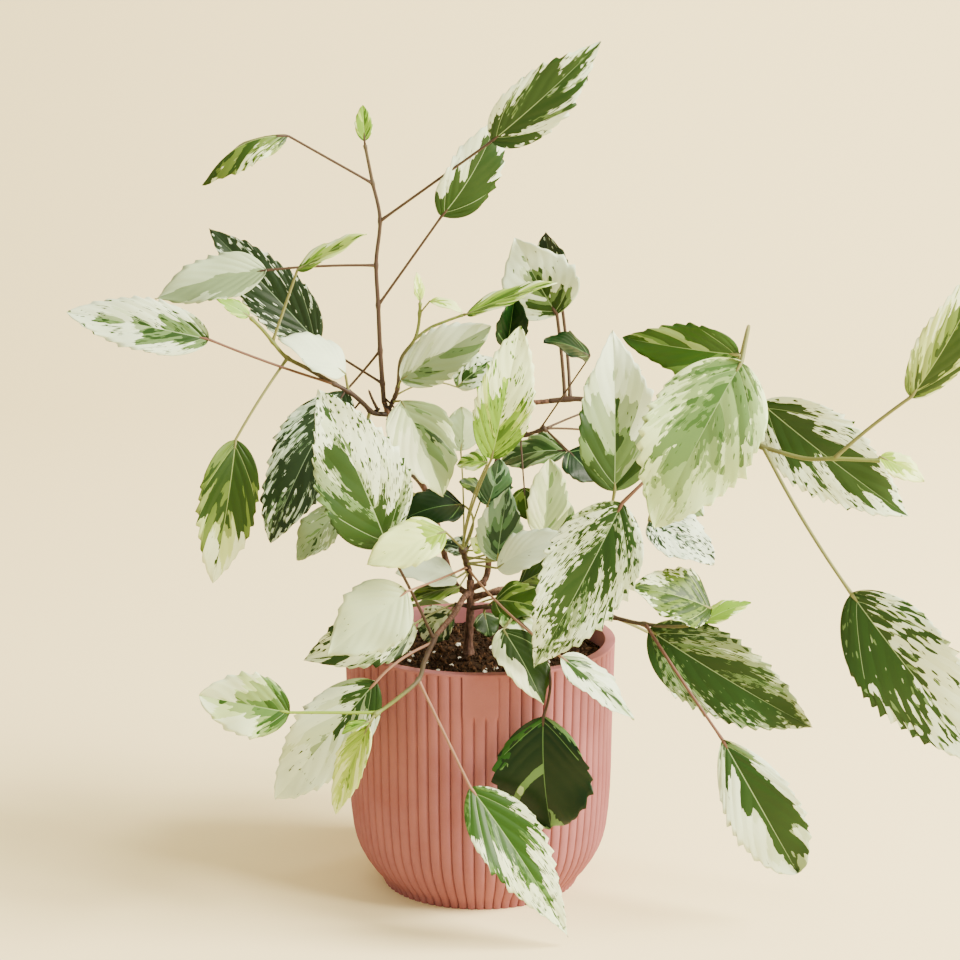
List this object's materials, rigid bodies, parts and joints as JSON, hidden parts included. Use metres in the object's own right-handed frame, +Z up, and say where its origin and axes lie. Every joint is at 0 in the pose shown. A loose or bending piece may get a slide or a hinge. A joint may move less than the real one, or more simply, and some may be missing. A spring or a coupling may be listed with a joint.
{
  "type": "potted_variegated_hibiscus_shrub",
  "caption": "A young variegated hibiscus shrub with green and white serrated leaves on thin brown boughs, in a salmon pink reeded pot filled with potting soil.",
  "frame": {"origin": "the middle of the pot's flat underside", "axes": "+Z is up, -Y is the front, with the pot's plain panel, and +X is the right"},
  "size_m": [0.4517, 0.2417, 0.4374],
  "materials": {
    "pot": "matte salmon pink stoneware",
    "soil": "dark peat soil with white perlite",
    "bark": "red-brown young bark",
    "foliage": "green and white variegated leaves"
  },
  "bodies": {
    "root": {"pot": "pot", "soil": "soil", "trunk": "bark", "left_bough": "bark", "right_bough": "bark", "low_left_bough": "bark", "low_right_bough": "bark", "rear_bough": "bark", "tall_spray": "foliage", "left_spray": "foliage", "upper_spray": "foliage", "heart_spray": "foliage", "back_spray": "foliage", "right_spray": "foliage", "low_right_spray": "foliage", "low_left_spray": "foliage", "under_spray": "foliage", "front_spray": "foliage", "rear_spray": "foliage", "rear_left_spray": "foliage"}
  },
  "joints": []
}
